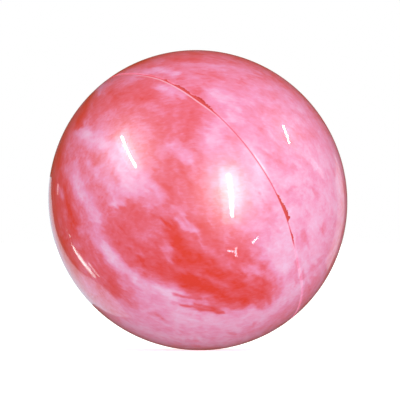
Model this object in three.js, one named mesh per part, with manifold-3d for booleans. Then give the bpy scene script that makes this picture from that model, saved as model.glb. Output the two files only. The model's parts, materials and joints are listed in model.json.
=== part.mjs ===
// Inflatable beach ball, moulded in one piece from soft marbled PVC and shown blown up.
//
// Millimetres, +Z up. The origin is the centre of the ball, which lies on the ground
// below it. The skin is moulded in two mould halves, so it carries one groove round its
// equator, and the filling valve sits on one of the two poles of that equator. Every
// piece is turned about the same axis, which runs through the valve.

import * as THREE from 'three';
import * as BufferGeometryUtils from 'three/addons/utils/BufferGeometryUtils.js';
import Module from 'manifold-3d';

const wasm = await Module();
wasm.setup();

// ---- driving dimensions -------------------------------------------------------------

const EQUATOR_RADIUS = 112.5; // centre to the skin beside the parting groove
const POLE_RADIUS = 110.5; // centre to the skin at the poles: the ball is slightly flattened
const WALL = 0.6; // blown-up thickness of the moulded skin
const VALVE_AZIMUTH = 32.1; // degrees from +X towards +Y
const VALVE_ELEVATION = 32.7; // degrees above the horizontal

const GROOVE_DEPTH = 0.5; // parting groove on the equator
const GROOVE_HALF_WIDTH = 0.7;
const LIP_HEIGHT = 0.2; // the mould halves leave a low lip on each side of the groove
const LIP_SPREAD = 2.6; // distance from the groove at which the lip has died out

const FIT = 0.3; // gap between neighbouring pieces

const FLANGE_RADIUS = 12; // valve housing, seen from outside as a disc in the skin
const FLANGE_THICKNESS = 2.4;
const NECK_RADIUS = 6.5;
const NECK_LENGTH = 18; // from the outer face of the flange to the inner end of the neck
const BORE_MOUTH_RADIUS = 4.1;
const BORE_END_RADIUS = 3.6;
const HEAD_RECESS_RADIUS = 6.9;
const HEAD_RECESS_DEPTH = 1.3;
const EDGE_ROUND = 0.4; // soft moulded edges
const NAIL_NOTCH_RADIUS = 2.2; // half-moon in the recess edge, to get a nail under the stopper

const HEAD_RADIUS = 6.2; // stopper
const HEAD_DOME = 0.35; // height of the head's crown over its edge
const HALFWAY_DOME = 0.75; // share of the crown reached halfway out
const HEAD_STANDS_PROUD = 0.2; // edge of the head above the flange's face
const RIB_COUNT = 3;
const RIB_HEIGHT = 0.5;
const RIB_HALF_WIDTH = 1.0;
const STOPPER_END_GAP = 1.5; // the shank ends this far short of the neck's end
const CORE_HOLE_RADIUS = 1.3; // blind hole that lets the shank squeeze into the bore
const CORE_HOLE_DEPTH = 11;

const PAD_THICKNESS = 1.6; // the skin is thicker under the flange
const PAD_RADIUS = 14.5;
const PAD_BLEND_RADIUS = 24; // radius at which the pad has thinned down to the wall
const COLLAR_THICKNESS = 1.3; // the skin climbs the neck and grips it
const COLLAR_LENGTH = 5;

const SKIN_SEGMENTS = 56; // facets round the axis
const SKIN_ROWS = 30; // facets from pole to pole
const VALVE_SEGMENTS = 40;
const NOTCH_SEGMENTS = 20;
const MERGE_DISTANCE = 1e-4; // corners nearer than this are one corner

// ---- levels along the valve axis, measured from the centre of the ball ---------------

const outerHeightAt = (radius) =>
  POLE_RADIUS * Math.sqrt(1 - (radius / EQUATOR_RADIUS) ** 2);

const FLANGE_FACE = outerHeightAt(FLANGE_RADIUS + FIT); // flush with the skin at its rim
const FLANGE_BACK = FLANGE_FACE - FLANGE_THICKNESS;
const NECK_END = FLANGE_FACE - NECK_LENGTH;
const RECESS_FLOOR = FLANGE_FACE - HEAD_RECESS_DEPTH;
const SEAT_LEVEL = FLANGE_BACK - FIT; // bottom of the counterbore in the skin
const PAD_BACK = SEAT_LEVEL - PAD_THICKNESS;
const COLLAR_END = PAD_BACK - COLLAR_LENGTH;

// ---- helpers ------------------------------------------------------------------------

const point = (radius, height) => new THREE.Vector2(radius, height);

function turned(profile, segments) {
  return new THREE.LatheGeometry(profile, segments);
}

function asManifold(geometry) {
  const bare = geometry.clone();
  bare.deleteAttribute('normal');
  bare.deleteAttribute('uv');
  const merged = BufferGeometryUtils.mergeVertices(bare, MERGE_DISTANCE);
  return new wasm.Manifold(new wasm.Mesh({
    numProp: 3,
    vertProperties: new Float32Array(merged.attributes.position.array),
    triVerts: new Uint32Array(merged.index.array),
  }));
}

function asGeometry(manifold) {
  const mesh = manifold.getMesh();
  const geometry = new THREE.BufferGeometry();
  geometry.setAttribute('position', new THREE.BufferAttribute(mesh.vertProperties, 3));
  geometry.setIndex(new THREE.BufferAttribute(mesh.triVerts, 1));
  geometry.computeVertexNormals();
  return geometry;
}

function piece(name, geometry, finish) {
  const mesh = new THREE.Mesh(geometry, new THREE.MeshStandardMaterial(finish));
  mesh.name = name;
  return mesh;
}

// Radius of the tapered bore at a level on the axis.
function boreRadiusAt(height) {
  const depth = (FLANGE_FACE - height) / NECK_LENGTH;
  return THREE.MathUtils.lerp(BORE_MOUTH_RADIUS, BORE_END_RADIUS, depth);
}

// ---- skin ---------------------------------------------------------------------------

// A point of the outer surface at a latitude in radians, raised by a small height.
function outerPoint(latitude, raise = 0) {
  return point(
    (EQUATOR_RADIUS + raise) * Math.cos(latitude),
    (POLE_RADIUS + raise) * Math.sin(latitude),
  );
}

function innerPoint(latitude) {
  return point(
    (EQUATOR_RADIUS - WALL) * Math.cos(latitude),
    (POLE_RADIUS - WALL) * Math.sin(latitude),
  );
}

// The parting groove with its two lips, from the south side to the north side.
function groovePoints() {
  const at = (distance, raise) => outerPoint(distance / EQUATOR_RADIUS, raise);
  return [
    at(-LIP_SPREAD, 0),
    at(-GROOVE_HALF_WIDTH, LIP_HEIGHT),
    at(0, -GROOVE_DEPTH),
    at(GROOVE_HALF_WIDTH, LIP_HEIGHT),
    at(LIP_SPREAD, 0),
  ];
}

// Latitudes of the plain rows from the south pole up to a limit, with the equator left
// out. The rows keep a fixed step, so outer and inner rows face each other.
function rowLatitudes(limit) {
  const step = Math.PI / SKIN_ROWS;
  const rows = [];
  for (let row = 1; row < SKIN_ROWS; row += 1) {
    const latitude = row * step - Math.PI / 2;
    if (latitude < limit - step / 3 && row !== SKIN_ROWS / 2) rows.push(latitude);
  }
  return rows;
}

function skinProfile() {
  const rimRadius = FLANGE_RADIUS + FIT;
  const rimLatitude = Math.acos(rimRadius / EQUATOR_RADIUS);
  const blendLatitude = Math.acos(PAD_BLEND_RADIUS / (EQUATOR_RADIUS - WALL));
  const outerRows = rowLatitudes(rimLatitude);
  const innerRows = rowLatitudes(blendLatitude);
  const south = outerRows.filter((latitude) => latitude < 0);
  const north = outerRows.filter((latitude) => latitude > 0);
  const equatorInside = point(EQUATOR_RADIUS - WALL - GROOVE_DEPTH, 0);
  return [
    point(0, -POLE_RADIUS),
    ...south.map((latitude) => outerPoint(latitude)),
    ...groovePoints(),
    ...north.map((latitude) => outerPoint(latitude)),
    outerPoint(rimLatitude),
    point(rimRadius, SEAT_LEVEL),
    point(NECK_RADIUS + FIT, SEAT_LEVEL),
    point(NECK_RADIUS + FIT, COLLAR_END),
    point(NECK_RADIUS + FIT + COLLAR_THICKNESS, COLLAR_END),
    point(NECK_RADIUS + FIT + COLLAR_THICKNESS, PAD_BACK),
    point(PAD_RADIUS, PAD_BACK),
    innerPoint(blendLatitude),
    ...innerRows.filter((latitude) => latitude > 0).reverse().map(innerPoint),
    equatorInside,
    ...innerRows.filter((latitude) => latitude < 0).reverse().map(innerPoint),
    point(0, -(POLE_RADIUS - WALL)),
  ];
}

const ballSkin = piece('ball_skin', turned(skinProfile(), SKIN_SEGMENTS), {
  color: 0xe9708a,
  roughness: 0.15,
  metalness: 0,
});

// ---- valve housing ------------------------------------------------------------------

// Closed loop: flange, neck, tapered bore and the recess for the stopper's head.
function housingProfile() {
  const loop = [
    point(FLANGE_RADIUS, FLANGE_BACK),
    point(FLANGE_RADIUS, FLANGE_FACE - EDGE_ROUND),
    point(FLANGE_RADIUS - EDGE_ROUND, FLANGE_FACE),
    point(HEAD_RECESS_RADIUS + EDGE_ROUND, FLANGE_FACE),
    point(HEAD_RECESS_RADIUS, FLANGE_FACE - EDGE_ROUND),
    point(HEAD_RECESS_RADIUS, RECESS_FLOOR),
    point(boreRadiusAt(RECESS_FLOOR) + EDGE_ROUND, RECESS_FLOOR),
    point(boreRadiusAt(RECESS_FLOOR - EDGE_ROUND), RECESS_FLOOR - EDGE_ROUND),
    point(BORE_END_RADIUS, NECK_END),
    point(NECK_RADIUS - EDGE_ROUND, NECK_END),
    point(NECK_RADIUS, NECK_END + EDGE_ROUND),
    point(NECK_RADIUS, FLANGE_BACK),
  ];
  return [...loop, loop[0].clone()];
}

// Half-moon cut into the edge of the recess.
function nailNotch() {
  const depth = HEAD_RECESS_DEPTH - EDGE_ROUND;
  const cutter = new THREE.CylinderGeometry(
    NAIL_NOTCH_RADIUS,
    NAIL_NOTCH_RADIUS,
    2 * depth,
    NOTCH_SEGMENTS,
  );
  cutter.translate(HEAD_RECESS_RADIUS + EDGE_ROUND, FLANGE_FACE, 0);
  return cutter;
}

const housingSolid = asManifold(turned(housingProfile(), VALVE_SEGMENTS))
  .subtract(asManifold(nailNotch()));

const valveHousing = piece('valve_housing', asGeometry(housingSolid), {
  color: 0xf3c9d3,
  roughness: 0.35,
  metalness: 0,
});

// ---- stopper ------------------------------------------------------------------------

// The shank's ribs follow the taper of the bore and keep the running gap to it.
function shankPoints(top, end) {
  const ribRadius = (height) => boreRadiusAt(height) - FIT;
  const coreRadius = (height) => ribRadius(height) - RIB_HEIGHT;
  const pitch = (top - end) / (RIB_COUNT + 1);
  const points = [];
  for (let rib = 1; rib <= RIB_COUNT; rib += 1) {
    const crest = top - rib * pitch;
    const upper = crest + RIB_HALF_WIDTH;
    const lower = crest - RIB_HALF_WIDTH;
    points.push(point(coreRadius(upper), upper));
    points.push(point(ribRadius(crest), crest));
    points.push(point(coreRadius(lower), lower));
  }
  return points;
}

function stopperProfile() {
  const headEdge = FLANGE_FACE + HEAD_STANDS_PROUD;
  const headBack = RECESS_FLOOR + FIT;
  const end = NECK_END + STOPPER_END_GAP;
  const neckRadius = boreRadiusAt(headBack) - FIT - RIB_HEIGHT;
  const endRadius = boreRadiusAt(end) - FIT - RIB_HEIGHT;
  const down = [
    point(0, headEdge + HEAD_DOME),
    point(HEAD_RADIUS / 2, headEdge + HEAD_DOME * HALFWAY_DOME),
    point(HEAD_RADIUS - EDGE_ROUND, headEdge),
    point(HEAD_RADIUS, headEdge - EDGE_ROUND),
    point(HEAD_RADIUS, headBack),
    point(neckRadius, headBack),
    ...shankPoints(headBack, end),
    point(endRadius, end + EDGE_ROUND),
    point(endRadius - EDGE_ROUND, end),
    point(CORE_HOLE_RADIUS, end),
    point(CORE_HOLE_RADIUS, end + CORE_HOLE_DEPTH),
    point(0, end + CORE_HOLE_DEPTH + CORE_HOLE_RADIUS / 2),
  ];
  return down.reverse();
}

const stopper = piece('stopper', turned(stopperProfile(), VALVE_SEGMENTS), {
  color: 0xf2ece6,
  roughness: 0.4,
  metalness: 0,
});

// ---- assembly -----------------------------------------------------------------------

// Turns the common +Y axis of the turned pieces on to the valve's direction.
function valveDirection() {
  const azimuth = THREE.MathUtils.degToRad(VALVE_AZIMUTH);
  const elevation = THREE.MathUtils.degToRad(VALVE_ELEVATION);
  return new THREE.Vector3(
    Math.cos(elevation) * Math.cos(azimuth),
    Math.cos(elevation) * Math.sin(azimuth),
    Math.sin(elevation),
  );
}

const ball = new THREE.Group();
ball.quaternion.setFromUnitVectors(new THREE.Vector3(0, 1, 0), valveDirection());
ball.add(ballSkin, valveHousing, stopper);

const group = new THREE.Group();
group.add(ball);

export default group;
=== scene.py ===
import json
from math import cos, pi, radians, sin

import bmesh
import bpy
import numpy as np
from mathutils import Matrix, Vector


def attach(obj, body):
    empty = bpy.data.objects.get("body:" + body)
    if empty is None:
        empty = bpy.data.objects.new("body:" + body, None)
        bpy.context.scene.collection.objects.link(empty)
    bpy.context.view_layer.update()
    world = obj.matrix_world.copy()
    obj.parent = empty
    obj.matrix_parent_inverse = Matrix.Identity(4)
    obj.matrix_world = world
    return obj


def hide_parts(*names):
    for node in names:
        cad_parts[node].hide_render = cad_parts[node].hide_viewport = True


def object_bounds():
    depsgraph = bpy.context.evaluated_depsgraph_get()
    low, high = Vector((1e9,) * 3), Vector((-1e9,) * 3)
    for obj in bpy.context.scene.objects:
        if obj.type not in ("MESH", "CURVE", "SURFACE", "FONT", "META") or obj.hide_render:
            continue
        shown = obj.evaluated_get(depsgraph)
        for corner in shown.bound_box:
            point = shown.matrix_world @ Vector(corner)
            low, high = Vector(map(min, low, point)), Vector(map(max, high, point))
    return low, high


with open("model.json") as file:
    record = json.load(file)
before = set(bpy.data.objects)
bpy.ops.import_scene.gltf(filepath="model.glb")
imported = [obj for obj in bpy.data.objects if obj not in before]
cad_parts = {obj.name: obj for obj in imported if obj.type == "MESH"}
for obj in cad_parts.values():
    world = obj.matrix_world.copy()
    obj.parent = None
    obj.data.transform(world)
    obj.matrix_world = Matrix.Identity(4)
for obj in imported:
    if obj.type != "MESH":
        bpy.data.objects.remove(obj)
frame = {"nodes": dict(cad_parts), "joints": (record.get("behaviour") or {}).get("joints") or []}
cad_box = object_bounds()

MM = 0.001

# ---- the mould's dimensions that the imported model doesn't give -------------------------

LIP_HEIGHT = 0.2 * MM  # low lip that each mould half leaves beside the parting groove
FIT = 0.3 * MM  # gap between neighbouring pieces
WALL = 0.6 * MM  # blown-up thickness of the skin
FLANGE_THICKNESS = 2.4 * MM
NECK_RADIUS = 6.5 * MM
COLLAR_THICKNESS = 1.3 * MM  # the skin climbs the neck of the valve and grips it
COLLAR_LENGTH = 5 * MM
PAD_THICKNESS = 1.6 * MM  # the skin is thicker under the flange
PAD_RADIUS = 14.5 * MM
PAD_BLEND_RADIUS = 24 * MM

# Distances to each side of the seam and how far the skin stands out there, in mm.
GROOVE_SHAPE = ((0, -0.2), (0.35, -0.15), (0.7, -0.03), (1.1, 0.04), (1.5, 0.04), (2.1, 0.02))
POOL_ROWS = (2.6, 3.1, 4.0, 5.0)  # more rows on the valve side, for the pooled pigment, in mm

PROFILE_POINTS = 400  # points round the whole outline that the skin is turned from
INNER_ROWS = 10
TURN_STEPS = 360
TOUCHING = 0.01 * MM  # points closer than this are at the same place
SMOOTH_ANGLE = 35  # degrees; the valve seat's corners are sharper and stay crisp
SEAM_REACH = 8  # mm from the seam past which the skin's finish no longer needs its distance

# The joint of the mould halves isn't quite flat: degrees round the valve axis from the
# seam's highest point, and how far the seam stands off its plane, in mm.
SEAM_WANDER = ((-30, -0.5), (0, -1.5), (10, -0.5), (20, 1.5), (30, 1.8), (40, 2), (49, 3.2),
               (64, 3), (83, 1.6), (97, -0.6), (108, -3), (118, -4), (135, -2), (180, 0))

# How strongly the line of pigment in the groove shows, at degrees round the axis, and how
# strongly the painted highlight on the lip beside it shows.
LINE_STRENGTH = ((-40, 0.8), (96, 1), (101, 0.7), (103, 1.2), (108, 1.2), (111, 0.1), (150, 0.1),
                 (185, 0.8))
LIP_HIGHLIGHT_STRENGTH = ((-40, 0.2), (5, 0.4), (20, 1), (44, 1), (52, 0.25), (100, 0.1), (180, 0.3))
WANDER_CORE = 6 * MM  # the skin moves with the seam this close to it
WANDER_REACH = 36 * MM  # and not at all beyond this

# Red pigment caught on the valve side of the seam: degrees round the axis where a pool
# starts, is widest and ends, and its greatest width in mm.
SEAM_POOLS = ((19.5, 22.0, 24.5, 1.6), (26.0, 32, 37.5, 2.6), (35, 40.5, 49.5, 3.2),
              (41, 45, 49.5, 1.8), (87, 98.4, 99.6, 2.7), (102.5, 107, 108.6, 1.3))

# ---- marbling --------------------------------------------------------------------------
# Tone 0 is the palest lilac pink and tone 1 the purest red. Longitude runs from the front
# towards the right, and latitude up, in degrees.

BASE_TONE = 0.48

# Each stroke of pigment: tone, half width in degrees, strength, and its path.
WASHES = (
    (0.31, 21, 0.9, ((26, 28), (38, 10))),
    (0.17, 21, 0.9, ((47, -8), (44, -22), (38, -33))),
    (0.16, 18, 0.7, ((60, 15), (62, -10), (60, -30))),
    (0.30, 12, 0.7, ((24, 48), (45, 42), (58, 30))),
    (0.50, 7, 0.7, ((-20, 60), (5, 57), (25, 57), (45, 55))),
    (0.72, 9, 0.85, ((-80, 72), (-20, 75), (40, 75), (80, 64))),
    (0.76, 9, 0.88, ((-62, 42), (-45, 41), (-30, 42))),
    (0.63, 11, 0.85, ((-26, 44), (-12, 38), (-6, 28), (-12, 18))),
    (0.82, 8, 0.85, ((-78, 30), (-72, 12), (-70, -4), (-68, -20))),
    (0.98, 5, 0.9, ((-82, 14), (-79, 2), (-76, -12), (-70, -26))),
    (0.60, 9, 0.6, ((-56, 27), (-38, 27))),
    (0.50, 7, 0.6, ((-38, -9), (-33, -12))),
    (0.68, 8, 0.85, ((-58, -12), (-53, -22), (-46, -32))),
    (0.68, 10, 0.9, ((-29, -10), (-22, -14), (-16, -18), (-8, -22))),
    (0.60, 7, 0.7, ((-14, 12), (-8, 6), (-4, 1), (2, -6))),
    (0.72, 8, 0.85, ((-2, -12), (8, -15), (15, -19))),
    (0.16, 9, 0.85, ((-34, -44), (-18, -46), (-4, -52), (16, -54), (36, -52))),
    (0.20, 13, 0.8, ((-50, -62), (0, -68), (50, -60))),
    (0.48, 8, 0.6, ((72, -26), (68, -42), (56, -56))),
    (0.80, 9, 0.85, ((2, -31), (14, -35), (26, -36))),
    (0.78, 6, 0.8, ((-26, -21), (-16, -26), (-6, -27))),
    (0.66, 5, 0.85, ((-48, -29), (-44, -36), (-39, -41))),
    (0.58, 6, 0.6, ((66, 62), (70, 50), (78, 36))),
)
RED_STREAMS = (
    (0.84, 2.0, 0.85, ((-26, -23), (-18, -27), (-10, -30.5), (-4, -32.5))),
    (1.00, 3.4, 1.0, ((-4, -33), (2, -35.5), (8, -38.5), (14, -41), (20, -42.5), (25, -42))),
    (1.00, 3.2, 0.95, ((-11, -11), (-9, -16), (-7, -20), (-3, -24), (2, -24), (6, -26))),
    (0.95, 1.8, 0.9, ((4, -29), (11, -28.5), (18, -29))),
    (0.90, 3.5, 0.8, ((18, -33), (25, -36), (31, -39), (35, -40))),
    (0.80, 2.0, 0.8, ((18, -30), (24, -32), (30, -33), (35, -35))),
    (0.86, 0.9, 0.8, ((-6, -45), (1, -46.3), (8, -47), (15, -48))),
    (0.80, 0.7, 0.8, ((-3, -44), (6, -45.4), (14, -46.3))),
    (0.75, 1.6, 0.8, ((4, -43), (10, -45), (22, -44))),
    (0.75, 0.9, 0.8, ((-12, -38.5), (-7, -40), (-2, -41))),
    (0.92, 3.6, 0.9, ((-62, 3), (-59, -4), (-57, -9))),
    (1.00, 2.6, 0.95, ((-78, 43), (-71, 37), (-65, 31))),
    (1.00, 5.0, 0.9, ((-80, 58), (-76, 64), (-66, 66))),
    (0.78, 3.4, 0.8, ((-27, -2), (-23, -4), (-20, -6))),
    (0.70, 4.0, 0.7, ((-36, -12), (-31, -15), (-27, -19))),
    (0.85, 2.6, 0.7, ((-22, -24), (-17, -26))),
    (0.72, 2.0, 0.7, ((-45, 15), (-41, 17))),
    (0.72, 3.4, 0.7, ((-42, 44), (-34, 45), (-29, 42))),
    (0.72, 1.6, 0.7, ((-2, -14), (-1, -18), (1, -20))),
    (0.70, 2.0, 0.7, ((8, -15), (13, -18))),
    (0.66, 1.8, 0.7, ((20, -22), (26, -24), (29, -27))),
    (0.64, 1.8, 0.8, ((-15, 54), (-7, 57), (2, 57))),
    (0.58, 1.8, 0.7, ((4, 54), (10, 54), (18, 53))),
    (0.62, 2.2, 0.7, ((-10, 42), (-7, 34), (-11, 28))),
    (0.62, 2.4, 0.7, ((-18, 14), (-13, 8), (-9, 2), (-11, -5))),
    (0.68, 2.4, 0.6, ((-6, 8), (-2, 2), (2, -3))),
    (0.60, 2.2, 0.6, ((40, -34), (38, -40), (35, -45))),
    (0.68, 1.4, 0.7, ((34, -44), (36, -46))),
    (0.86, 3.0, 0.8, ((-45, -33), (-44, -37))),
    (0.66, 1.6, 0.7, ((-28, -49), (-22, -51))),
)
PALE_STREAMS = (
    (0.14, 3.6, 0.8, ((-60, 27), (-52, 25), (-44, 23), (-36, 18), (-30, 9), (-24, 4))),
    (0.14, 3.2, 0.7, ((-56, 12), (-54, 5), (-48, 1), (-44, -4), (-42, -11), (-42, -17))),
    (0.05, 2.6, 0.9, ((-41, -19), (-36, -25), (-31, -30), (-25, -35), (-17, -37.5), (-9, -39))),
    (0.10, 1.5, 0.6, ((-36, 0), (-28, -1), (-18, -2.5))),
    (0.16, 2.2, 0.5, ((-37, 5), (-32, 3), (-26, 1))),
    (0.15, 2.4, 0.7, ((-21, 8), (-17, 4), (-13, 1))),
    (0.30, 1.0, 0.6, ((-12, 1), (-9, -2), (-5, -6), (-3, -10), (0, -14), (2, -19))),
    (0.24, 1.0, 0.7, ((-8, -8), (-5, -11), (-2, -10))),
    (0.22, 3.0, 0.8, ((-10, 20), (-7, 17), (-4, 15))),
    (0.30, 2.0, 0.6, ((-14, -17), (-12, -22))),
    (0.55, 1.1, 0.8, ((-9, -26), (-5, -28.5), (0, -30.5), (6, -32.5), (14, -34))),
    (0.50, 1.0, 0.7, ((20, -27.5), (26, -28.5), (32, -31))),
    (0.22, 2.6, 0.8, ((-22, 48), (-14, 46), (-8, 44))),
    (0.18, 2.4, 0.8, ((-38, 56.5), (-28, 58.5), (-18, 57))),
    (0.34, 2.0, 0.4, ((0, 63), (14, 62), (40, 60))),
    (0.12, 4.0, 0.7, ((8, 45), (14, 40), (16, 33))),
    (0.14, 4.0, 0.7, ((4, 24), (8, 28))),
    (0.04, 5.0, 0.7, ((22, 18), (24, 10), (24, 3))),
    (0.22, 1.8, 0.9, ((14, -45.5), (19, -45.5), (24, -47))),
    (0.08, 3.4, 0.8, ((32, -18), (36, -22), (40, -27))),
    (0.30, 3.0, 0.7, ((-80, 50), (-72, 48), (-64, 47))),
    (0.30, 1.4, 0.6, ((-70, 5), (-66, 3))),
    (0.30, 1.6, 0.7, ((-4, -42.5), (4, -44))),
    (0.50, 2.6, 0.7, ((-22, -13), (-15, -13))),
    (0.52, 2.0, 0.7, ((-29, -23), (-24, -19))),
    (0.50, 1.8, 0.6, ((-38, -8), (-33, -9))),
)
WISPS = (
    (0.46, 1.8, 0.8, ((24, 38), (31, 36), (38, 37))),
    (0.44, 1.6, 0.8, ((52, 28), (58, 26))),
    (0.42, 1.8, 0.8, ((30, 17), (34, 15), (40, 12))),
    (0.42, 1.4, 0.8, ((20, 7), (26, 3), (24, -4))),
    (0.40, 1.4, 0.8, ((46, -13), (48, -17))),
    (0.42, 1.4, 0.8, ((57, -10), (59, -13))),
    (0.42, 1.4, 0.8, ((68, -19), (62, -23), (55, -28), (50, -32))),
    (0.44, 1.2, 0.8, ((45, -24), (47, -29), (50, -33))),
    (0.46, 2.0, 0.8, ((30, -24), (32, -28), (36, -31))),
    (0.56, 1.2, 0.8, ((29, -62.5), (34, -63.5))),
    (0.40, 2.4, 0.7, ((14, 22), (18, 20))),
    (0.36, 1.2, 0.7, ((38, 4), (46, 6), (52, 3))),
    (0.36, 1.4, 0.7, ((40, 50), (55, 44), (66, 34))),
    (0.30, 1.6, 0.7, ((-44, 10), (-40, 6), (-36, 11))),
    (0.45, 2.0, 0.7, ((-50, 16), (-46, 11), (-40, 12))),
    (0.52, 3.0, 0.6, ((-66, 18), (-60, 14), (-58, 8))),
)
MARBLING = WASHES + WISPS + PALE_STREAMS + RED_STREAMS

# ---- lights: what the glossy skin mirrors ------------------------------------------------
# Tubes, lamps and strips of window: where their reflections start and end on the skin in
# longitude and latitude, how wide the reflection is in degrees of the skin, their
# brightness and their colour.
TUBES = (
    ("tube_left", (-33.4, 24.9), (-24.7, 12.6), 0.35, 460, "#FFFFFF"),
    ("tube_middle", (11.8, 9.8), (13.0, -5.8), 0.8, 520, "#FFF9EC"),
    ("tube_right", (40.2, 29.6), (40.3, 21.8), 0.5, 200, "#FFFFFF"),
    ("lamp_low_a", (24.2, -13.8), (21.7, -16.4), 0.5, 40, "#FFE8F0"),
    ("lamp_low_b", (11.9, -19.4), (14.8, -19.8), 0.5, 26, "#FFD8E8"),
    ("lamp_low_c", (15.3, -18.2), (15.7, -21.8), 0.5, 26, "#FFD8E8"),
    ("window_edge", (70.0, 12.0), (71.5, -26.0), 9.0, 0.5, "#F4F8F4"),
    ("soft_band", (42.0, 20.0), (57.0, 9.0), 2.0, 1.3, "#FFF4FA"),
    ("rim_streak", (-61.5, -18.0), (-53.0, -31.0), 1.7, 3.6, "#D6FFF8"),
    ("rim_streak_inside", (-58.8, -21.5), (-54.2, -28.5), 1.5, 3.2, "#D6FFF8"),
    ("rim_streak_core", (-62.4, -17.0), (-56.5, -26.5), 0.5, 4, "#F4FFF8"),
    ("rim_streak_inner", (-53.7, -24.8), (-50.1, -30.8), 0.7, 3.4, "#D6FFF8"),
    ("rim_spot", (-63.6, -11.4), (-63.4, -11.9), 0.5, 3, "#D6FFF8"),
    ("rim_spot_lower", (-62.2, -13.2), (-61.8, -14.4), 0.8, 3, "#D6FFF8"),
    ("rim_mark", (-69.5, 6.2), (-69.5, 2.0), 1.6, 1.2, "#FFE9E4"),
)
TUBE_DISTANCE = 1.5  # metres from the skin

# The diffusers of the two bright tubes: how far each glows past the tube, in degrees.
GLOWING = {"tube_left": 2.4, "tube_middle": 3.6}
GLOW_LAYERS = 8  # panels stacked from narrow to wide, so that the glow fades outwards
GLOW_GROWTH = 1.6  # more of the panels are narrow than wide
GLOW_RADIANCE = 2.8
GLOW_COLOUR = "#F6F4FF"

# A pale board behind and to the left shows as a crescent inside the outline of the ball:
# how far round its edge is, in degrees down from the left, and how far in from the outline,
# in mm.
BOARD_EDGE = ((-9, 0), (-9, 1.5), (1, 2.8), (10, 3.1), (16, 3.8), (21, 4.7), (26, 6.1),
              (31, 8.4), (36, 12.3), (41, 15.4), (47, 16.5), (53, 14.8), (60, 11), (61, 12),
              (56, 6.6), (52, 4.1), (48, 2.5), (44.7, 1.5), (44.7, 0))
BOARD_DISTANCE = 1.2
BOARD_RADIANCE = 0.88
BOARD_COLOUR = "#EAF4FF"

SOFTBOX_PLACE = Vector((1.3, -1.7, 0.9))
SOFTBOX_REACH = Vector((0.7, 0.5, 0))  # from its middle to the middle of one short edge
SOFTBOX_WIDTH = 1.4
SOFTBOX_RADIANCE = 0.9

KEY_SIDE = (0.86, -0.3, 0.4)  # the even light is strongest from the right and above
EVEN_LIGHT = (0.92, 1.1)  # its strength on the side away from there, and from there
ROOM_COLOUR = "#B0683C"  # the dim warm room that the gloss mirrors between the lights
ROOM_STRENGTH = 0.5
FLOOR_SIZE = 40
FLOOR_GLOW = 0.55

# ---- camera ------------------------------------------------------------------------------

LENS = 1000.0  # a very long lens, far back
SENSOR = 36.0
VIEW_HALF_HEIGHT = 149.1 * MM  # half the frame, at the ball
CAMERA_SIDE = 1.64 * MM  # the ball sits slightly left of the middle
CAMERA_RAISE = 0.15 * MM


def hex_colour(code, alpha=True):
    """Linear colour of an sRGB hex code."""
    values = [int(code[i : i + 2], 16) / 255 for i in (1, 3, 5)]
    linear = [v / 12.92 if v <= 0.04045 else ((v + 0.055) / 1.055) ** 2.4 for v in values]
    return (*linear, 1.0) if alpha else tuple(linear)


# ---- the frame's own measures ------------------------------------------------------------


def joint_axis(name):
    """Direction of a joint's axis."""
    joint = next(j for j in frame["joints"] if j["name"] == name)
    return Vector(joint["axis"]).normalized()


VALVE_AXIS = joint_axis("stopper_pull")


def heights_and_radii(node):
    """Heights along the valve axis and distances from it of a CAD node's vertices."""
    points = np.array([v.co for v in frame["nodes"][node].data.vertices])
    heights = points @ np.array(VALVE_AXIS)
    radii = np.linalg.norm(points - np.outer(heights, VALVE_AXIS), axis=1)
    return heights, radii


skin_heights, skin_radii = heights_and_radii("ball_skin")
housing_heights, housing_radii = heights_and_radii("valve_housing")
POLE_RADIUS = -skin_heights.min()
EQUATOR_RADIUS = skin_radii.max() - LIP_HEIGHT
RIM_RADIUS = housing_radii.max() + FIT
SEAT_LEVEL = housing_heights.max() - FLANGE_THICKNESS - FIT
PAD_BACK = SEAT_LEVEL - PAD_THICKNESS
COLLAR_END = PAD_BACK - COLLAR_LENGTH


# ---- modelling helpers -------------------------------------------------------------------


def deselect_all():
    bpy.ops.object.select_all(action="DESELECT")


def select_where(piece, test):
    """In edit mode, selects the vertices whose place passes the test."""
    mesh = bmesh.from_edit_mesh(piece.data)
    for vertex in mesh.verts:
        vertex.select_set(test(vertex.co))
    mesh.select_flush_mode()
    bmesh.update_edit_mesh(piece.data)


def cut_across(piece, height):
    """Adds a point to the outline where it crosses a height."""
    bpy.ops.mesh.select_all(action="SELECT")
    bpy.ops.mesh.bisect(plane_co=(0, height, 0), plane_no=(0, 1, 0))


def extrude_through(start, points):
    """Extrudes the selected point from start through a list of points."""
    here = Vector(start)
    for point in points:
        step = Vector((point[0], point[1], 0)) - here
        bpy.ops.mesh.extrude_region_move(TRANSFORM_OT_translate={"value": step})
        here += step


def turned_about_axis(piece, steps):
    """Spins the outline once round its Y axis into a closed, outward-facing skin."""
    bpy.ops.mesh.select_all(action="SELECT")
    bpy.ops.mesh.spin(steps=steps, angle=2 * pi, center=(0, 0, 0), axis=(0, 1, 0))
    bpy.ops.mesh.select_all(action="SELECT")
    bpy.ops.mesh.remove_doubles(threshold=TOUCHING)
    bpy.ops.mesh.normals_make_consistent(inside=False)


def aim_along_valve(piece):
    """Turns a piece made round the Y axis onto the valve axis, and applies the turn."""
    piece.rotation_mode = "QUATERNION"
    piece.rotation_quaternion = Vector((0, 1, 0)).rotation_difference(VALVE_AXIS)
    deselect_all()
    piece.select_set(True)
    bpy.context.view_layer.objects.active = piece
    bpy.ops.object.transform_apply(location=True, rotation=True, scale=True)


# ---- skin --------------------------------------------------------------------------------


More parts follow.
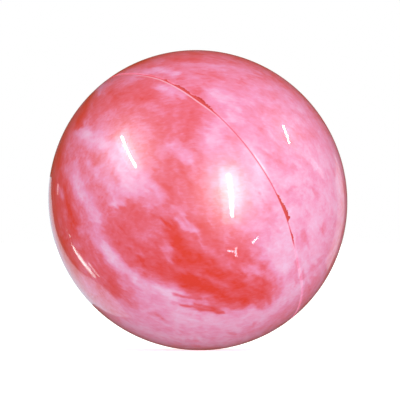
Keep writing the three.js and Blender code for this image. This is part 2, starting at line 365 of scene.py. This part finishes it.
def groove_outline(piece):
    """Sinks the parting groove into the outline, with a lip on each side."""
    for height, stand in GROOVE_SHAPE:
        for side in {1, -1} if height else {1}:
            level = side * height * MM
            cut_across(piece, level)
            select_where(piece, lambda co: abs(co.y - level) < TOUCHING and co.x > 0)
            bpy.ops.transform.translate(value=(stand * MM, 0, 0))
    for height in POOL_ROWS:
        cut_across(piece, height * MM)


def inner_outline():
    """Points of the inner wall, from under the valve to the far pole."""
    width = EQUATOR_RADIUS - WALL
    depth = POLE_RADIUS - WALL
    start = np.arccos(PAD_BLEND_RADIUS / width)
    latitudes = np.linspace(start, -pi / 2, INNER_ROWS + 1)
    return [(width * cos(a), depth * sin(a)) for a in latitudes[:-1]] + [(0, -depth)]


def skin_mesh():
    """The skin as one closed wall: outside, valve seat, collar and inside."""
    deselect_all()
    bpy.ops.mesh.primitive_circle_add(vertices=PROFILE_POINTS, radius=EQUATOR_RADIUS)
    piece = bpy.context.object
    piece.name = "marbled_skin"
    bpy.ops.object.mode_set(mode="EDIT")
    bpy.ops.transform.resize(value=(1, POLE_RADIUS / EQUATOR_RADIUS, 1))
    bpy.ops.mesh.bisect(plane_co=(0, 0, 0), plane_no=(1, 0, 0), clear_inner=True)
    groove_outline(piece)
    select_where(piece, lambda co: co.y > 0 and co.x < 2 * RIM_RADIUS)
    bpy.ops.mesh.bisect(plane_co=(RIM_RADIUS, 0, 0), plane_no=(1, 0, 0), clear_inner=True)
    rim = (RIM_RADIUS, POLE_RADIUS * (1 - (RIM_RADIUS / EQUATOR_RADIUS) ** 2) ** 0.5)
    select_where(piece, lambda co: co.y > 0 and abs(co.x - RIM_RADIUS) < TOUCHING)
    hole = NECK_RADIUS + FIT
    collar = hole + COLLAR_THICKNESS
    seat = [(RIM_RADIUS, SEAT_LEVEL), (hole, SEAT_LEVEL), (hole, COLLAR_END)]
    back = [(collar, COLLAR_END), (collar, PAD_BACK), (PAD_RADIUS, PAD_BACK)]
    extrude_through((*rim, 0), seat + back + inner_outline())
    turned_about_axis(piece, TURN_STEPS)
    bpy.ops.object.mode_set(mode="OBJECT")
    aim_along_valve(piece)
    bpy.ops.object.shade_smooth_by_angle(angle=radians(SMOOTH_ANGLE))
    return piece


def vertex_places(piece):
    co = np.empty(len(piece.data.vertices) * 3)
    piece.data.vertices.foreach_get("co", co)
    return co.reshape(-1, 3)


def round_the_seam(points):
    """Degrees round the valve axis, from the seam's highest point towards the front."""
    axis = np.array(VALVE_AXIS)
    highest = np.array((0, 0, 1)) - axis * axis[2]
    highest /= np.linalg.norm(highest)
    side = np.cross(axis, highest)
    return np.degrees(np.arctan2(points @ side, points @ highest))


def wander(points):
    """Moves the skin along its meridians, so that the seam isn't dead flat."""
    axis = np.array(VALVE_AXIS)
    shift = round_table(SEAM_WANDER, round_the_seam(points)) * MM
    away = np.clip((np.abs(points @ axis) - WANDER_CORE) / (WANDER_REACH - WANDER_CORE), 0, 1)
    shift *= 1 - away * away * (3 - 2 * away)
    radius = np.linalg.norm(points, axis=1, keepdims=True)
    unit = points / radius
    north = axis - unit * (unit @ axis)[:, None]
    north /= np.maximum(np.linalg.norm(north, axis=1, keepdims=True), 1e-9)
    turn = shift[:, None] / radius
    return radius * (unit * np.cos(turn) + north * np.sin(turn))


def pool_width(angles):
    """Width in mm of the pigment pooled beside the seam, at angles round it."""
    width = np.zeros(len(angles))
    for start, widest, end, most in SEAM_POOLS:
        share = np.interp(angles, (start, start + 1.5, widest, end), (0, 0.5, 1, 0))
        width = np.maximum(width, most * share)
    return width


def round_table(table, angles):
    """Value of a table of angles and values, at angles round the axis."""
    places, values = np.array(table).T
    return np.interp(angles, places, values, period=360)


def store(piece, name, values):
    attribute = piece.data.attributes.new(name, "FLOAT", "POINT")
    attribute.data.foreach_set("value", values.astype(np.float32))


# ---- paint ---------------------------------------------------------------------------------


def lattice_noise(points, size, seed):
    """Smooth noise of about -1 to 1, with features of about that size in degrees."""
    table = np.random.default_rng(seed).normal(size=(1024, 3))
    table /= np.linalg.norm(table, axis=1, keepdims=True)
    p = points / radians(size) + 40.7
    cell = np.floor(p).astype(np.int64)
    f = p - cell
    ease = f * f * f * (f * (f * 6 - 15) + 10)
    total = np.zeros(len(points))
    for corner in np.ndindex(2, 2, 2):
        key = (cell + corner) @ np.array((73856093, 19349663, 83492791)) & 1023
        slope = np.einsum("ij,ij->i", table[key], f - corner)
        weight = np.prod(np.where(corner, ease, 1 - ease), axis=1)
        total += weight * slope
    return total * 1.6


def warp_noise(points, size, seed):
    """Noise with three independent components."""
    return np.stack([lattice_noise(points, size, seed + i) for i in range(3)], axis=1)


def on_sphere(points):
    return points / np.linalg.norm(points, axis=1, keepdims=True)


def direction(lon, lat):
    """Unit vector of a longitude and latitude: the front is -Y."""
    lon = np.radians(lon)
    lat = np.radians(lat)
    return np.stack([np.sin(lon) * np.cos(lat), -np.cos(lon) * np.cos(lat), np.sin(lat)], axis=-1)


def within_reach(points, path, reach):
    """Which points may lie within reach, in degrees, of a path of unit vectors."""
    middle = on_sphere(path.mean(axis=0)[None])[0]
    span = np.arccos(np.clip((path @ middle).min(), -1, 1)) + radians(reach)
    return np.flatnonzero(points @ middle > cos(min(span, pi)))


def distance_to_path(points, path):
    """Degrees from each point to a path of unit vectors, and the path's tangent there."""
    nearest = np.full(len(points), 1e9)
    tangent = np.zeros_like(points)
    for a, b in zip(path[:-1], path[1:]):
        along = b - a
        share = np.clip((points - a) @ along / (along @ along), 0, 1)
        gap = np.linalg.norm(points - a - share[:, None] * along, axis=1)
        closer = gap < nearest
        nearest = np.where(closer, gap, nearest)
        tangent[closer] = along / np.linalg.norm(along)
    return np.degrees(nearest), tangent


# Range of tones and range of half widths in degrees, of each kind of stroke at the back.
BACK_KINDS = (((0.68, 0.85), (7, 14)), ((0.12, 0.3), (7, 14)), ((0.8, 1.0), (1.6, 4.5)),
              ((0.05, 0.2), (1.5, 5)), ((0.75, 1.0), (0.7, 1.4)), ((0.05, 0.25), (0.6, 1.2)))
BACK_SWIRL = np.array((0.5, 0.4, 0.9))  # the strokes at the back mostly turn about this
BACK_SWIRL_SPREAD = 0.45  # how much each stroke's own swirl differs from that
BACK_SEED = 11
BACK_COUNT = 200
BACK_STEPS = (3, 9)  # fewest steps in a stroke, and the number that it stays under
BACK_STEP = 6  # degrees between the points of a stroke
BACK_BEND = 0.3  # the most that a stroke keeps turning by at each step
BACK_SHAKE = 0.15
BACK_STRENGTH = (0.45, 0.85)
THREAD_STRENGTH = 0.4  # share of its strength that the finest thread would have
FULL_GAIN = 6  # half width in degrees that would bring a whole share more


def back_streams():
    """Strokes for the side away from the front, each wandering from a seeded random start."""
    rng = np.random.default_rng(BACK_SEED)
    strokes = []
    for index in range(BACK_COUNT):
        place = on_sphere(rng.normal(size=(1, 3)))[0]
        heading = np.cross(place, BACK_SWIRL + BACK_SWIRL_SPREAD * rng.normal(size=3))
        heading /= np.linalg.norm(heading)
        tones, widths = BACK_KINDS[index % len(BACK_KINDS)]
        tone = rng.uniform(*tones)
        width = rng.uniform(*widths)
        path = [place]
        bend = rng.uniform(-BACK_BEND, BACK_BEND)
        for _ in range(rng.integers(*BACK_STEPS)):
            place = on_sphere((place + heading * radians(BACK_STEP))[None])[0]
            side = np.cross(place, heading)
            heading = heading + side * (bend + rng.normal() * BACK_SHAKE)
            heading -= place * (heading @ place)
            heading /= np.linalg.norm(heading)
            path.append(place)
        strength = rng.uniform(*BACK_STRENGTH) * min(1, THREAD_STRENGTH + width / FULL_GAIN)
        strokes.append((tone, width, strength, np.array(path)))
    strokes.sort(key=lambda stroke: -stroke[1])
    return strokes


# A stroke steers the pigment this many of its half widths away, and this many degrees more.
FLOW_WIDTHS = 1.5
FLOW_MARGIN = 3
FLOW_CUTOFF = 2.5  # times that distance, past which a stroke's pull is too weak to matter
START_FLOW = np.array((0.5, 0.1, -0.8))  # the way the pigment runs where no stroke is near
START_PULL = 0.02
FLOW_ROUNDS = 6  # enough for the strongest direction to win


def flow(points, strokes):
    """Direction that the pigment ran in at each point, from the strokes nearby."""
    tensor = np.zeros((len(points), 3, 3))
    for _, width, _, path in strokes:
        spread = width * FLOW_WIDTHS + FLOW_MARGIN
        near = within_reach(points, path, FLOW_CUTOFF * spread)
        distance, tangent = distance_to_path(points[near], path)
        weight = np.exp(-((distance / spread) ** 2)) / width
        tensor[near] += weight[:, None, None] * tangent[:, :, None] * tangent[:, None, :]
    tensor += START_PULL * np.outer(START_FLOW, START_FLOW)
    heading = np.tile(START_FLOW, (len(points), 1))
    for _ in range(FLOW_ROUNDS):
        heading = np.einsum("ijk,ik->ij", tensor, heading)
        heading -= points * np.einsum("ij,ij->i", heading, points)[:, None]
        heading = on_sphere(heading + 1e-12)
    return heading


STREAK_STEPS = 21
FINE_STREAKS = (1.6, 6, 101)  # width and half length in degrees, and seed
BROAD_STREAKS = (4.5, 12, 131)


def streaks(points, heading, size, length, seed):
    """Noise drawn out along the flow, as pigment dragged through soft PVC is."""
    total = np.zeros(len(points))
    steps = np.linspace(-length, length, STREAK_STEPS)
    for step in steps:
        total += lattice_noise(on_sphere(points + heading * radians(step)), size, seed)
    return total / len(steps) ** 0.5


# The strokes at the back fade in from here, in radii behind the ball's middle, over this far.
BACK_STARTS = -0.05
BACK_FADE = 0.35

# What ruffles the strokes' edges: size of the feature and how far it moves them, in
# degrees, and seed.
RUFFLES = ((16, 1.6, 21), (5, 1.0, 31), (2, 0.45, 41))
STREAK_SHIFT = 2.2  # degrees that the fine streaks drag an edge along the flow

STROKE_CUTOFF = 3  # half widths, past which a stroke has faded out
STROKE_FALL = 2.6  # a higher power gives a stroke a flatter middle and a crisper edge

# Clouds in the pigment: size in degrees, how much they change the tone, and seed.
CLOUDS = ((9, 0.10, 51), (4, 0.11, 61), (2, 0.06, 71))
STREAK_TONE = 0.05  # how much the streaks change the tone
STREAKS_IN_PALE = 0.35  # their share of that where the tone is palest


def marbling(points):
    """Tone of the pigment at each unit vector."""
    front = [(t, w, s, direction(*np.array(path).T)) for t, w, s, path in MARBLING]
    back = back_streams()
    behind = np.clip((points[:, 1] - BACK_STARTS) / BACK_FADE, 0, 1)
    heading = flow(points, front + back)
    fine_streaks = streaks(points, heading, *FINE_STREAKS)
    broad_streaks = streaks(points, heading, *BROAD_STREAKS)
    moved = points
    for size, shift, seed in RUFFLES:
        moved = moved + radians(shift) * warp_noise(points, size, seed)
    moved = moved + heading * radians(STREAK_SHIFT) * fine_streaks[:, None]
    moved = on_sphere(moved)
    tone = np.full(len(points), BASE_TONE)
    everywhere = np.ones(len(points))
    for strokes, share in ((back, behind), (front, everywhere)):
        for value, width, strength, path in strokes:
            near = within_reach(moved, path, STROKE_CUTOFF * width)
            distance, _ = distance_to_path(moved[near], path)
            mixed = strength * share[near] * np.exp(-((distance / width) ** STROKE_FALL))
            tone[near] += (value - tone[near]) * mixed
    for size, amount, seed in CLOUDS:
        tone += amount * lattice_noise(moved, size, seed)
    dragged = STREAKS_IN_PALE + tone
    tone += dragged * STREAK_TONE * (broad_streaks + fine_streaks)
    return np.clip(tone, 0, 1)


# ---- materials ---------------------------------------------------------------------------


def add(tree, kind, inputs=None, **settings):
    """Adds a node, sets it, and fills its inputs with values or other nodes' outputs."""
    node = tree.nodes.new(kind)
    for name, value in settings.items():
        setattr(node, name, value)
    for name, value in (inputs or {}).items():
        if isinstance(value, bpy.types.NodeSocket):
            tree.links.new(value, node.inputs[name])
        else:
            node.inputs[name].default_value = value
    return node


def new_material(name):
    """An empty material with its output, and the node tree to fill."""
    material = bpy.data.materials.new(name)
    material.use_nodes = True
    material.node_tree.nodes.clear()
    return material, material.node_tree


def finish_material(tree, shader):
    output = add(tree, "ShaderNodeOutputMaterial")
    tree.links.new(shader.outputs[0], output.inputs["Surface"])


def set_ramp(node, stops):
    """Gives a colour ramp its stops: position and hex colour."""
    elements = node.color_ramp.elements
    while len(elements) < len(stops):
        elements.new(0.5)
    for element, (position, colour) in zip(elements, stops):
        element.position = position
        element.color = hex_colour(colour)


# Pale lilac pink, through the rose of thin pigment, to the orange red of thick pigment.
PIGMENT_COLOURS = ((0.0, "#FECDEE"), (0.3, "#FA9DC8"), (0.45, "#F786A9"), (0.6, "#F36C84"),
                   (0.77, "#F05460"), (1.0, "#EE3422"))
FINE_CLOUD = 6 * MM
CLOUD_AMOUNT = 0.24
GRAIN = 2.2 * MM  # pigment specks, drawn out, at a size that shows
GRAIN_AMOUNT = 0.3
PVC_IOR = 1.5
# painted highlight: pale pink for the lit lip beside the seam
LIP_HIGHLIGHT_COLOUR = "#FFC9DC"
LINE_COLOUR = "#E2405C"
POOL_COLOUR = "#D62A28"
POOL_RAGGED = 2.5 * MM  # size of the ragged bits at a pool's edge

# In mm from the seam: where the skin starts to lose its gloss and has lost it, and where
# the line of pigment starts to show and shows in full.
GLOSS_EDGE = (1.6, 0.9)
LINE_EDGE = (0.9, 0.2)


def value_plus(tree, value, noise, amount):
    """A value with centred noise added to it."""
    return add(tree, "ShaderNodeMath", {0: noise, 1: amount, 2: value}, operation="MULTIPLY_ADD")


def marbled_pvc():
    """Soft PVC, moulded against a polished mould: a glassy coat over softly scattering
    pink, with red pigment dragged through it."""
    material, tree = new_material("soft_pvc_marbled")
    place = add(tree, "ShaderNodeTexCoord").outputs["Object"]
    tone = add(tree, "ShaderNodeAttribute", attribute_name="pigment").outputs["Fac"]
    cloud = add(tree, "ShaderNodeTexNoise", {"Vector": place, "Scale": 1 / FINE_CLOUD,
                                             "Detail": 3.0, "Distortion": 0.8})
    centred = add(tree, "ShaderNodeMath", {0: cloud.outputs["Fac"], 1: 0.5}, operation="SUBTRACT")
    tone = value_plus(tree, tone, centred.outputs[0], CLOUD_AMOUNT).outputs[0]
    drawn_out = add(tree, "ShaderNodeMapping", {"Vector": place, "Rotation": (0, 0.35, 0),
                                                "Scale": (0.35, 1, 1)}).outputs[0]
    grain = add(tree, "ShaderNodeTexNoise", {"Vector": drawn_out, "Scale": 1 / GRAIN,
                                             "Detail": 3.0, "Distortion": 0.5})
    centred = add(tree, "ShaderNodeMath", {0: grain.outputs["Fac"], 1: 0.5}, operation="SUBTRACT")
    tone = value_plus(tree, tone, centred.outputs[0], GRAIN_AMOUNT).outputs[0]
    ramp = add(tree, "ShaderNodeValToRGB", {"Fac": tone})
    set_ramp(ramp, PIGMENT_COLOURS)
    colour = seam_colour(tree, ramp.outputs["Color"], place)
    gloss = seam_fade(tree, GLOSS_EDGE, outside=1.0, inside=0.1)
    matt = seam_fade(tree, GLOSS_EDGE, outside=0.42, inside=0.8)
    bump = add(tree, "ShaderNodeBump", {"Height": cloud.outputs["Fac"], "Strength": 0.02,
                                        "Distance": 0.1 * MM})
    shader = add(tree, "ShaderNodeBsdfPrincipled", {
        "Base Color": colour, "Roughness": matt, "IOR": PVC_IOR, "Coat Weight": gloss,
        "Coat Roughness": 0.05, "Coat IOR": PVC_IOR, "Subsurface Weight": 0.12,
        "Subsurface Radius": (1.0, 0.4, 0.3), "Subsurface Scale": 1.5 * MM,
        "Normal": bump.outputs[0]})
    finish_material(tree, shader)
    return material


def seam_colour(tree, colour, place):
    """Red pools beside the seam, a darker line of pigment down in its groove, and a painted
    highlight: a pale band on the lip on the side away from the valve, where light would catch it.
    """
    side = add(tree, "ShaderNodeAttribute", attribute_name="seam_side").outputs["Fac"]
    pool = add(tree, "ShaderNodeAttribute", attribute_name="pool").outputs["Fac"]
    ragged = add(tree, "ShaderNodeTexNoise", {"Vector": place, "Scale": 1 / POOL_RAGGED})
    edge = add(tree, "ShaderNodeMath", {0: ragged.outputs["Fac"], 1: pool}, operation="MULTIPLY")
    reach = add(tree, "ShaderNodeMath", {0: edge.outputs[0], 1: 2.0}, operation="MULTIPLY")
    reach = add(tree, "ShaderNodeMath", {0: reach.outputs[0], 1: side}, operation="SUBTRACT")
    inside = add(tree, "ShaderNodeMapRange", {"Value": reach.outputs[0], "From Min": -0.1,
                                              "From Max": 0.3}, interpolation_type="SMOOTHSTEP")
    valve_side = add(tree, "ShaderNodeMapRange", {"Value": side, "From Min": -0.4,
                                                  "From Max": 0.0})
    wet = add(tree, "ShaderNodeMapRange", {"Value": pool, "From Min": 0.02, "From Max": 0.2})
    mask = add(tree, "ShaderNodeMath", {0: inside.outputs[0], 1: valve_side.outputs[0]},
               operation="MULTIPLY")
    mask = add(tree, "ShaderNodeMath", {0: mask.outputs[0], 1: wet.outputs[0]},
               operation="MULTIPLY")
    # painted highlight: the lip 0.5 to 2 mm from the seam, on the side away from the valve, is
    # tinted pale as if lit
    lit = add(tree, "ShaderNodeMapRange", {"Value": side, "From Min": -0.5, "From Max": -0.9,
                                           "To Max": 0.7}).outputs[0]
    lit_end = add(tree, "ShaderNodeMapRange", {"Value": side, "From Min": -2.0,
                                               "From Max": -1.5}).outputs[0]
    lit = add(tree, "ShaderNodeMath", {0: lit, 1: lit_end}, operation="MULTIPLY").outputs[0]
    lip = add(tree, "ShaderNodeAttribute", attribute_name="lip").outputs["Fac"]
    lit = add(tree, "ShaderNodeMath", {0: lit, 1: lip}, operation="MULTIPLY").outputs[0]
    colour = add_mix(tree, colour, hex_colour(LIP_HIGHLIGHT_COLOUR), lit)
    line = add(tree, "ShaderNodeAttribute", attribute_name="line").outputs["Fac"]
    dark = add(tree, "ShaderNodeMath", {0: seam_fade(tree, LINE_EDGE, 0.0, 0.8), 1: line},
               operation="MULTIPLY").outputs[0]
    lined = add_mix(tree, colour, hex_colour(LINE_COLOUR), dark)
    return add_mix(tree, lined, hex_colour(POOL_COLOUR), mask.outputs[0])


def seam_fade(tree, span, outside, inside):
    """A value that goes from outside to inside between two distances from the seam, in mm."""
    side = add(tree, "ShaderNodeAttribute", attribute_name="seam_side").outputs["Fac"]
    away = add(tree, "ShaderNodeMath", {0: side}, operation="ABSOLUTE")
    fade = add(tree, "ShaderNodeMapRange", {"Value": away.outputs[0], "From Min": span[0],
                                            "From Max": span[1], "To Min": outside,
                                            "To Max": inside})
    return fade.outputs[0]


def add_mix(tree, first, second, factor):
    mix = add(tree, "ShaderNodeMix", data_type="RGBA")
    tree.links.new(first, mix.inputs["A"])
    mix.inputs["B"].default_value = second
    tree.links.new(factor, mix.inputs["Factor"])
    return mix.outputs["Result"]


VALVE_CLOUD = 5 * MM


def plain_pvc(name, colour, darker, roughness):
    """Injection-moulded PVC: satin, with faint clouding from the mould's flow."""
    material, tree = new_material(name)
    place = add(tree, "ShaderNodeTexCoord").outputs["Object"]
    cloud = add(tree, "ShaderNodeTexNoise", {"Vector": place, "Scale": 1 / VALVE_CLOUD,
                                             "Detail": 3.0})
    ramp = add(tree, "ShaderNodeValToRGB", {"Fac": cloud.outputs["Fac"]})
    set_ramp(ramp, ((0.3, darker), (0.65, colour)))
    bump = add(tree, "ShaderNodeBump", {"Height": cloud.outputs["Fac"], "Strength": 0.1,
                                        "Distance": 0.1 * MM})
    shader = add(tree, "ShaderNodeBsdfPrincipled", {
        "Base Color": ramp.outputs["Color"], "Roughness": roughness, "IOR": PVC_IOR,
        "Subsurface Weight": 0.1, "Subsurface Radius": (1.0, 0.5, 0.4),
        "Subsurface Scale": 1.0 * MM, "Normal": bump.outputs[0]})
    finish_material(tree, shader)
    return material


def studio_floor_finish():
    """Matt white paint, lit to near white."""
    material, tree = new_material("matt_white_floor")
    shader = add(tree, "ShaderNodeBsdfPrincipled", {
        "Base Color": hex_colour("#F4F2F0"), "Roughness": 0.9,
        "Emission Color": hex_colour("#FFFFFF"), "Emission Strength": FLOOR_GLOW})
    finish_material(tree, shader)
    return material


# ---- pieces ------------------------------------------------------------------------------


def make_skin():
    piece = skin_mesh()
    places = vertex_places(piece)
    from_seam = places @ np.array(VALVE_AXIS) / MM
    store(piece, "seam_side", np.clip(from_seam, -SEAM_REACH, SEAM_REACH))
    angles = round_the_seam(places)
    store(piece, "pool", pool_width(angles))
    store(piece, "line", round_table(LINE_STRENGTH, angles))
    # how strongly the painted highlight on the lip shows, round the axis
    store(piece, "lip", round_table(LIP_HIGHLIGHT_STRENGTH, angles))
    moved = wander(places)
    piece.data.vertices.foreach_set("co", moved.astype(np.float32).ravel())
    piece.data.update()
    store(piece, "pigment", marbling(on_sphere(moved)))
    piece.data.materials.append(marbled_pvc())
    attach(piece, "ball")
    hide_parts("ball_skin")


def finish_valve():
    housing = frame["nodes"]["valve_housing"]
    housing.data.materials.clear()
    housing.data.materials.append(plain_pvc("soft_pvc_moulded_pink", "#F58FB2", "#EE7FA4", 0.25))
    stopper = frame["nodes"]["stopper"]
    stopper.data.materials.clear()
    stopper.data.materials.append(plain_pvc("soft_pvc_moulded_white", "#F6EFEC", "#EDE2DE", 0.42))


# ---- floor, lights, camera ---------------------------------------------------------------


def make_floor():
    deselect_all()
    bpy.ops.mesh.primitive_plane_add(size=FLOOR_SIZE, location=(0, 0, cad_box[0].z))
    floor = bpy.context.object
    floor.name = "studio_floor"
    floor.data.materials.append(studio_floor_finish())
    floor.visible_glossy = False
    floor.visible_diffuse = False


def make_world():
    """White behind the ball, even light on it, and a dim warm room in its gloss."""
    world = bpy.data.worlds.new("studio")
    world.use_nodes = True
    tree = world.node_tree
    tree.nodes.clear()
    path = add(tree, "ShaderNodeLightPath")
    towards = add(tree, "ShaderNodeVectorMath",
                  {0: add(tree, "ShaderNodeTexCoord").outputs["Generated"], 1: KEY_SIDE},
                  operation="DOT_PRODUCT").outputs["Value"]
    dim, bright = EVEN_LIGHT
    light = add(tree, "ShaderNodeMapRange", {"Value": towards, "From Min": -1.0, "From Max": 1.0,
                                             "To Min": dim, "To Max": bright})
    even = add(tree, "ShaderNodeBackground", {"Color": hex_colour("#FFF8FA"),
                                              "Strength": light.outputs[0]})
    room = add(tree, "ShaderNodeBackground", {"Color": hex_colour(ROOM_COLOUR),
                                              "Strength": ROOM_STRENGTH})
    white = add(tree, "ShaderNodeBackground", {"Color": hex_colour("#FFFFFF"), "Strength": 1.0})
    mixed = add(tree, "ShaderNodeMixShader", {0: path.outputs["Is Glossy Ray"],
                                              1: even.outputs[0], 2: room.outputs[0]})
    seen = add(tree, "ShaderNodeMixShader", {0: path.outputs["Is Camera Ray"],
                                             1: mixed.outputs[0], 2: white.outputs[0]})
    output = add(tree, "ShaderNodeOutputWorld")
    tree.links.new(seen.outputs[0], output.inputs["Surface"])
    bpy.context.scene.world = world


CAMERA_PLACE = Vector((CAMERA_SIDE, -VIEW_HALF_HEIGHT * 2 * LENS / SENSOR, CAMERA_RAISE))


def make_camera():
    deselect_all()
    bpy.ops.object.camera_add(location=CAMERA_PLACE, rotation=(pi / 2, 0, 0))
    camera = bpy.context.object
    camera.data.lens = LENS
    camera.data.sensor_width = SENSOR
    camera.data.clip_end = 100
    bpy.context.scene.camera = camera


def area_light(name, start, end, width, radiance, colour, seen_in_gloss):
    """A rectangular light whose long middle line runs from start to end, facing the ball."""
    middle = (start + end) / 2
    length = (end - start).length
    facing = middle.normalized()
    along = (end - start).normalized()
    along = (along - facing * along.dot(facing)).normalized()
    across = facing.cross(along)
    data = bpy.data.lights.new(name, "AREA")
    data.shape = "RECTANGLE"
    data.size = length
    data.size_y = width
    data.energy = radiance * pi * length * width
    data.color = hex_colour(colour, alpha=False)
    light = bpy.data.objects.new(name, data)
    light.matrix_world = Matrix((along, across, facing)).transposed().to_4x4()
    light.location = middle
    light.visible_camera = False
    light.visible_glossy = seen_in_gloss
    light.visible_diffuse = not seen_in_gloss
    light.visible_transmission = False
    bpy.context.scene.collection.objects.link(light)


def mirrored_ray(away):
    """A point on the skin, and the way the camera's line of sight leaves it."""
    height = away.dot(VALVE_AXIS)
    across = away - VALVE_AXIS * height
    normal = across / EQUATOR_RADIUS ** 2 + VALVE_AXIS * height / POLE_RADIUS ** 2
    normal.normalize()
    place = away * EQUATOR_RADIUS
    to_camera = (CAMERA_PLACE - place).normalized()
    reflected = 2 * normal.dot(to_camera) * normal - to_camera
    return place, reflected


def mirrored_place(lon, lat, distance):
    """Where a lamp has to be for its reflection to show at a point on the skin."""
    place, reflected = mirrored_ray(Vector(direction(lon, lat)))
    return place + reflected * distance


def make_tubes():
    for name, start, end, width, radiance, colour in TUBES:
        ends = [mirrored_place(*point, TUBE_DISTANCE) for point in (start, end)]
        thickness = 2 * radians(width) * TUBE_DISTANCE
        area_light(name, *ends, thickness, radiance, colour, seen_in_gloss=True)
        for layer in range(GLOW_LAYERS if name in GLOWING else 0):
            share = ((layer + 1) / GLOW_LAYERS) ** GLOW_GROWTH
            spread = 2 * radians(GLOWING[name] * share) * TUBE_DISTANCE
            overhang = (ends[1] - ends[0]).normalized() * spread
            area_light(f"{name}_glow_{layer}", ends[0] - overhang, ends[1] + overhang,
                       thickness + 2 * spread, GLOW_RADIANCE, GLOW_COLOUR, seen_in_gloss=True)


def make_board():
    """The pale board whose reflection edges the ball at its left and lower left."""
    corners = []
    for round_degrees, depth in BOARD_EDGE:
        share = 1 - depth * MM / EQUATOR_RADIUS
        across = -share * cos(radians(round_degrees))
        up = -share * sin(radians(round_degrees))
        facing = -(1 - share * share) ** 0.5
        seen_at, reflected = mirrored_ray(Vector((across, facing, up)))
        corners.append(seen_at + reflected * ((BOARD_DISTANCE - seen_at.y) / reflected.y))
    mesh = bpy.data.meshes.new("pale_board")
    mesh.from_pydata(corners, [], [range(len(corners))])
    board = bpy.data.objects.new("pale_board", mesh)
    bpy.context.scene.collection.objects.link(board)
    material, tree = new_material("backlit_pale_card")
    glow = add(tree, "ShaderNodeEmission", {"Color": hex_colour(BOARD_COLOUR),
                                            "Strength": BOARD_RADIANCE})
    finish_material(tree, glow)
    mesh.materials.append(material)
    board.visible_camera = False
    board.visible_diffuse = False
    board.visible_shadow = False
    board.visible_transmission = False


def make_softbox():
    """A large soft box to the right, above and in front, which the gloss doesn't show."""
    area_light("soft_box", SOFTBOX_PLACE - SOFTBOX_REACH, SOFTBOX_PLACE + SOFTBOX_REACH,
               SOFTBOX_WIDTH, SOFTBOX_RADIANCE, "#FFFFFF", seen_in_gloss=False)


def set_view():
    bpy.context.scene.view_settings.view_transform = "Standard"


set_view()
make_camera()
make_world()
make_floor()
make_tubes()
make_board()
make_softbox()
make_skin()
finish_valve()
